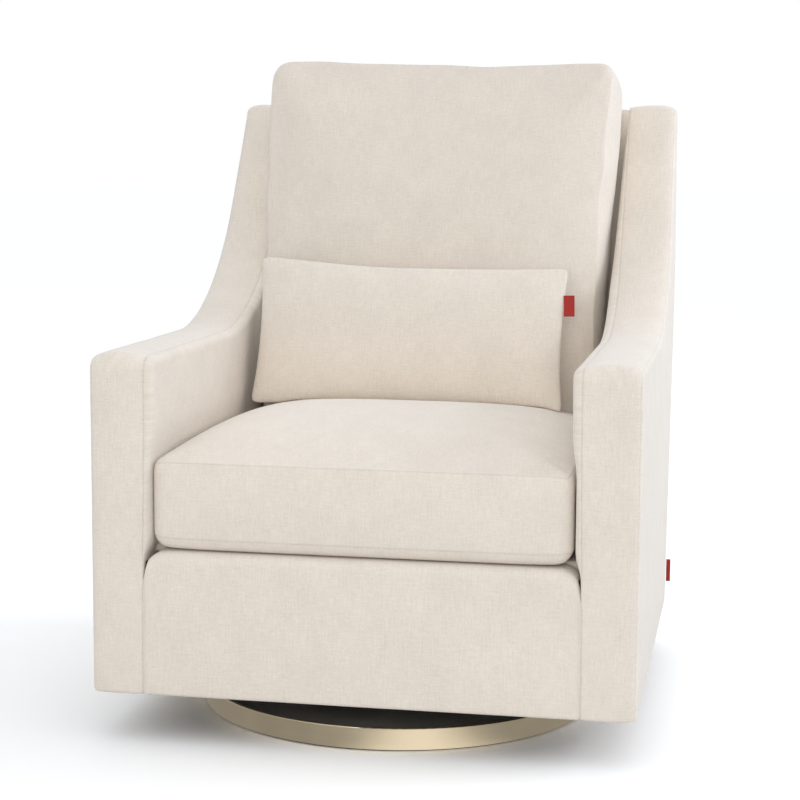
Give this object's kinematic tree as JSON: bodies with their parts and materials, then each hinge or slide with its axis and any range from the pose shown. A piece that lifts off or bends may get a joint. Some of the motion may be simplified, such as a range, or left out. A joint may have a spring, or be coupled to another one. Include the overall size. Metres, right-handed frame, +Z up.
{
  "type": "swivel rocking armchair",
  "caption": "Upholstered armchair with loose seat, back and lumbar cushions, on a round swivel base ring with a sprung rocking joint.",
  "frame": {"origin": "on the floor, at the centre of the round base ring, on the swivel axis", "axes": "+Z up, -Y towards the chair's front, +X to the right as seen from the front"},
  "size_m": [0.7512, 0.8655, 0.9516],
  "materials": {
    "cream_fabric": "matte",
    "black_fabric": "matte",
    "red_tab": "matte",
    "webbing": "matte",
    "brass_ring": "satin",
    "black_steel": "satin",
    "plain_steel": "satin",
    "bearing_steel": "polished",
    "bronze": "satin",
    "nylon": "matte",
    "black_rubber": "matte",
    "plywood": "matte"
  },
  "bodies": {
    "base": {"floor_pad_ring": "black_rubber", "base_ring": "brass_ring", "base_plate": "black_steel", "base_bars": "black_steel", "lower_race": "plain_steel", "base_bolts": "plain_steel", "king_bolt": "plain_steel", "king_nut_and_washer": "plain_steel"},
    "ball_cage": {"ball_cage": "nylon", "bearing_balls": "bearing_steel"},
    "carriage": {"upper_race": "plain_steel", "carriage_plate": "black_steel", "carriage_bolts": "plain_steel", "king_bush": "bronze", "pivot_cheek_left": "black_steel", "pivot_cheek_right": "black_steel", "pivot_pins": "plain_steel", "lower_spring_cups": "black_steel", "stop_posts": "black_steel", "stop_pads": "black_rubber"},
    "chair": {"rocker_rail_left": "black_steel", "rocker_rail_right": "black_steel", "pivot_bushes": "bronze", "spring_bridge_front": "black_steel", "spring_bridge_rear": "black_steel", "upper_spring_cups": "black_steel", "rocker_springs": "plain_steel", "mount_bolts": "plain_steel", "mount_board_front": "plywood", "mount_board_rear": "plywood", "front_rail": "plywood", "rear_rail": "plywood", "corner_blocks": "plywood", "arm_panels_left": "plywood", "arm_panels_right": "plywood", "arm_battens_left": "plywood", "arm_battens_right": "plywood", "back_post_left": "plywood", "back_post_right": "plywood", "back_foot_rail": "plywood", "back_top_rail": "plywood", "back_webbing": "webbing", "seat_springs": "plain_steel", "spring_clips": "plain_steel", "deck_pad": "cream_fabric", "arm_cover_left": "cream_fabric", "arm_cover_right": "cream_fabric", "arm_inner_pad_left": "cream_fabric", "arm_inner_pad_right": "cream_fabric", "front_rail_cover": "cream_fabric", "inside_back_pad": "cream_fabric", "outside_back_cover": "cream_fabric", "dust_cover_left": "black_fabric", "dust_cover_right": "black_fabric", "side_tab": "red_tab"},
    "seat_cushion": {"seat_cushion": "cream_fabric"},
    "back_cushion": {"back_cushion": "cream_fabric"},
    "lumbar_pillow": {"lumbar_pillow": "cream_fabric", "pillow_tab": "red_tab"}
  },
  "joints": [
    {"name": "swivel", "type": "hinge", "parent": "base", "child": "carriage", "pos_m": [0, 0, 0.031], "axis": [0, 0, 1], "continuous": true},
    {"name": "cage_turn", "type": "hinge", "parent": "base", "child": "ball_cage", "pos_m": [0, 0, 0.031], "axis": [0, 0, 1], "continuous": true},
    {"name": "rock", "type": "hinge", "parent": "carriage", "child": "chair", "pos_m": [0, 0, 0.11], "axis": [-1, 0, 0], "range_deg": [-5, 6], "stiffness_Nm_per_rad": 1000, "springref_deg": -3.26, "deforming": ["rocker_springs"]},
    {"name": "seat_cushion_slide", "type": "slide", "parent": "chair", "child": "seat_cushion", "axis": [0, -1, 0], "range_m": [0, 0.6]},
    {"name": "back_cushion_lift", "type": "slide", "parent": "chair", "child": "back_cushion", "axis": [0, 0.1865, 0.9825], "range_m": [0, 0.75]},
    {"name": "pillow_lift", "type": "slide", "parent": "chair", "child": "lumbar_pillow", "axis": [0, -0.866, 0.5], "range_m": [0, 0.7]}
  ],
  "couplings": [
    {"joint": "cage_turn", "follows": "swivel", "ratio": 0.5}
  ]
}
